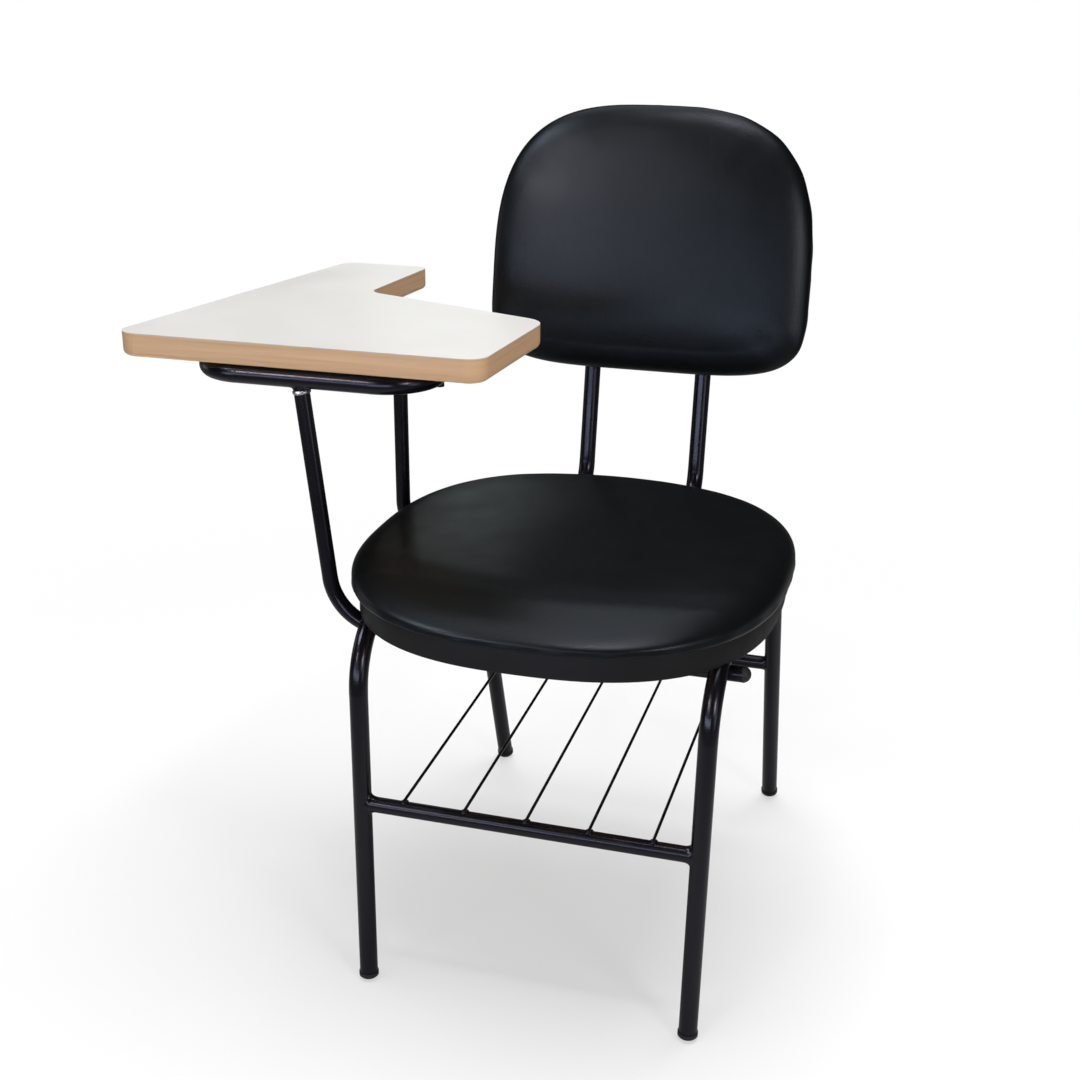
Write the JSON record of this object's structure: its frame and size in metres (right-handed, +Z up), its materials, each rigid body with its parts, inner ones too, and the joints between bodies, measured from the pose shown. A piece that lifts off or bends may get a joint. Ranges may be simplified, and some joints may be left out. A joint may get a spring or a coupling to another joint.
{
  "type": "tablet arm chair",
  "caption": "Student chair with a welded bent-tube frame, padded seat and back, a wire book rack and a fixed writing tablet on a side arm.",
  "frame": {"origin": "on the floor, at the middle of the plan's outline box", "axes": "+Z up; the sitter faces -Y; +X is on the sitter's left, so the tablet is on -X"},
  "size_m": [0.6602, 0.5909, 0.8576],
  "materials": {
    "frame_paint": "semi-gloss black powder coat on steel tube",
    "plug_plastic": "satin moulded plastic",
    "zinc_steel": "bright zinc plate",
    "plywood": "raw plywood",
    "band_plastic": "matt black edge profile",
    "cover_plastic": "fine-grain moulded plastic",
    "vinyl": "black vinyl cloth with a soft sheen",
    "tablet_core": "raw board",
    "laminate": "satin white laminate",
    "edge_strip": "pale wood-tone lipping"
  },
  "bodies": {
    "root": {"left_side_frame": "frame_paint", "right_side_frame": "frame_paint", "front_cross_tube": "frame_paint", "rear_cross_tube": "frame_paint", "basket_wire_1": "frame_paint", "basket_wire_2": "frame_paint", "basket_wire_3": "frame_paint", "basket_wire_4": "frame_paint", "basket_wire_5": "frame_paint", "front_riser_tube": "frame_paint", "rear_riser_tube": "frame_paint", "front_riser_plug": "plug_plastic", "rear_riser_plug": "plug_plastic", "left_back_tube": "frame_paint", "right_back_tube": "frame_paint", "back_tube_plugs": "plug_plastic", "foot_plug_front_left": "plug_plastic", "foot_plug_front_right": "plug_plastic", "foot_plug_rear_left": "plug_plastic", "foot_plug_rear_right": "plug_plastic", "seat_tab_front_left": "frame_paint", "seat_tab_front_right": "frame_paint", "seat_tab_rear_left": "frame_paint", "seat_tab_rear_right": "frame_paint", "seat_board": "plywood", "seat_edge_band": "band_plastic", "seat_cushion": "vinyl", "seat_screws": "zinc_steel", "seat_insert_nuts": "zinc_steel", "back_board": "plywood", "back_cover": "cover_plastic", "back_cushion": "vinyl", "back_screws": "zinc_steel", "back_insert_nuts": "zinc_steel", "tablet_support_loop": "frame_paint", "tablet_board": "tablet_core", "tablet_laminate": "laminate", "tablet_edge_strip": "edge_strip", "tablet_screws": "zinc_steel"}
  },
  "joints": []
}
